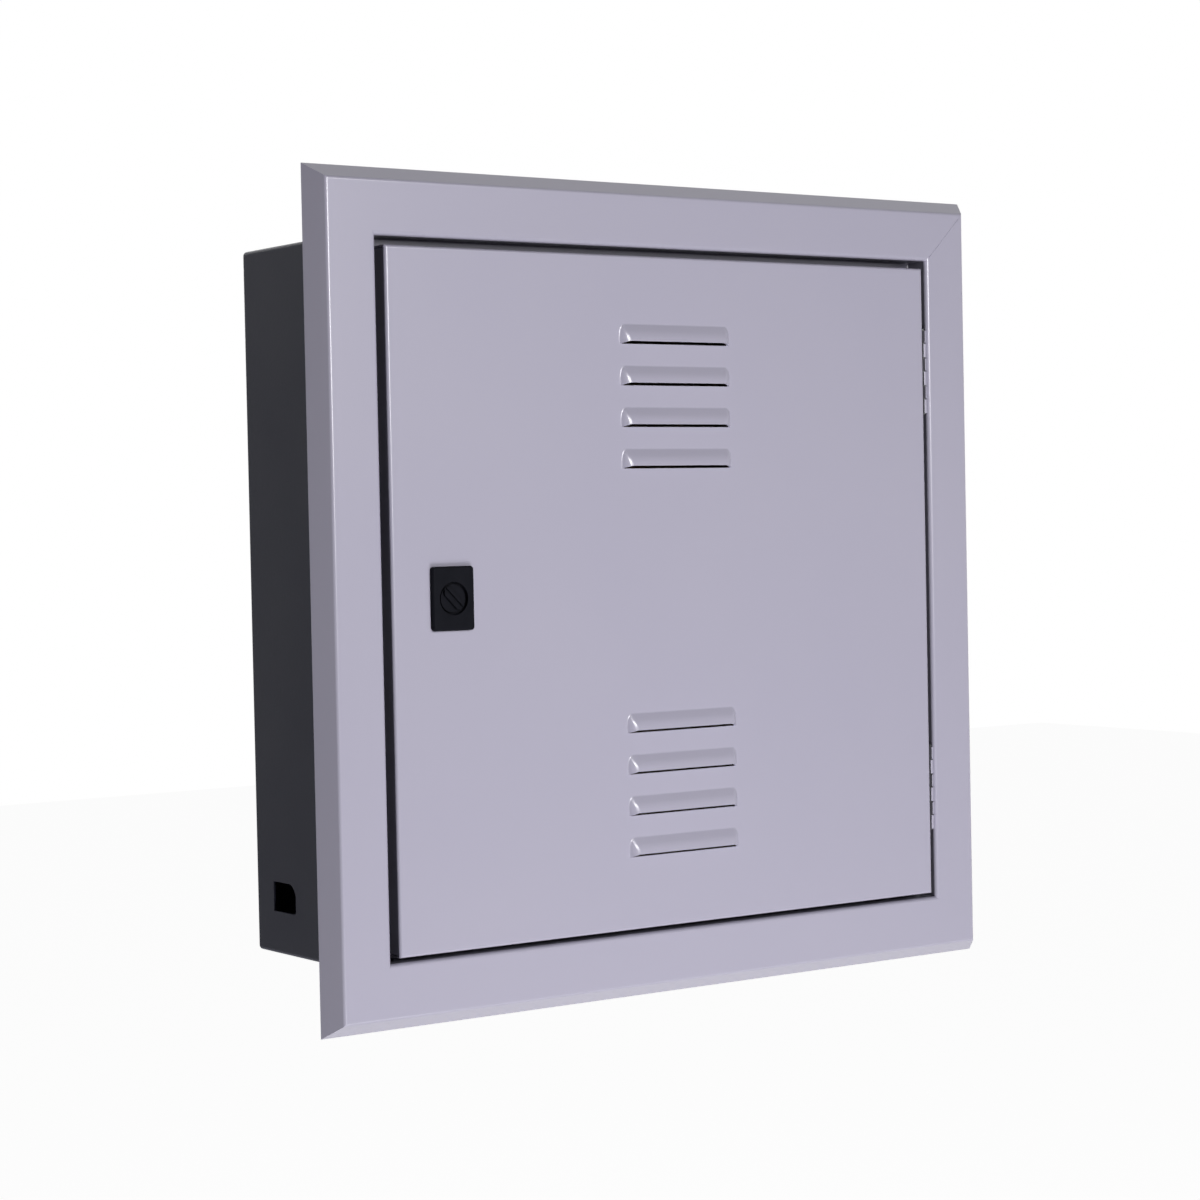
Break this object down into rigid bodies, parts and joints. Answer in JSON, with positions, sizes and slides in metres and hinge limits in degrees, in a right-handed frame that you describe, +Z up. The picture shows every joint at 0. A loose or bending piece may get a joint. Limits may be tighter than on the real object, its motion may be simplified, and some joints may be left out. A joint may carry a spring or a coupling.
{
  "type": "flush telephone box",
  "caption": "Square steel wall box with a wooden back board, a bevelled frame and a louvred door on pin hinges with a quarter-turn latch.",
  "frame": {"origin": "centre of the four fixing holes, on the outer face of the box's back", "axes": "+X to the right seen from the front, +Z up, +Y into the wall"},
  "size_m": [0.465, 0.146, 0.465],
  "materials": {
    "box_paint": "semi-gloss dark grey paint",
    "front_paint": "semi-gloss grey paint",
    "board_wood": "plain plywood",
    "zinc_steel": "bright zinc",
    "brass": "plain brass",
    "latch_plastic": "black moulded plastic"
  },
  "bodies": {
    "box": {"box_body": "box_paint", "mounting_board": "board_wood", "board_studs": "zinc_steel", "board_washers": "zinc_steel", "board_nuts": "zinc_steel", "frame": "front_paint", "frame_brackets": "box_paint", "frame_screws": "zinc_steel", "bracket_nuts": "zinc_steel", "earth_stud": "brass", "earth_washers": "brass", "earth_nut": "brass", "upper_frame_leaf": "front_paint", "lower_frame_leaf": "front_paint", "upper_hinge_pin": "zinc_steel", "lower_hinge_pin": "zinc_steel"},
    "door": {"door_panel": "front_paint", "upper_door_leaf": "front_paint", "lower_door_leaf": "front_paint", "door_earth_stud": "brass", "door_earth_washers": "brass", "door_earth_nut": "brass", "latch_housing": "latch_plastic", "latch_nut": "latch_plastic"},
    "latch": {"latch_core": "latch_plastic", "latch_cam": "zinc_steel", "cam_washer": "zinc_steel", "cam_screw": "zinc_steel"}
  },
  "joints": [
    {"name": "door_hinge", "type": "hinge", "parent": "box", "child": "door", "pos_m": [0.1928, -0.1394, 0.002], "axis": [0, 0, 1], "range_deg": [0, 110]},
    {"name": "latch_turn", "type": "hinge", "parent": "door", "child": "latch", "pos_m": [-0.1533, -0.1426, 0.002], "axis": [0, 1, 0], "range_deg": [0, 90]}
  ]
}
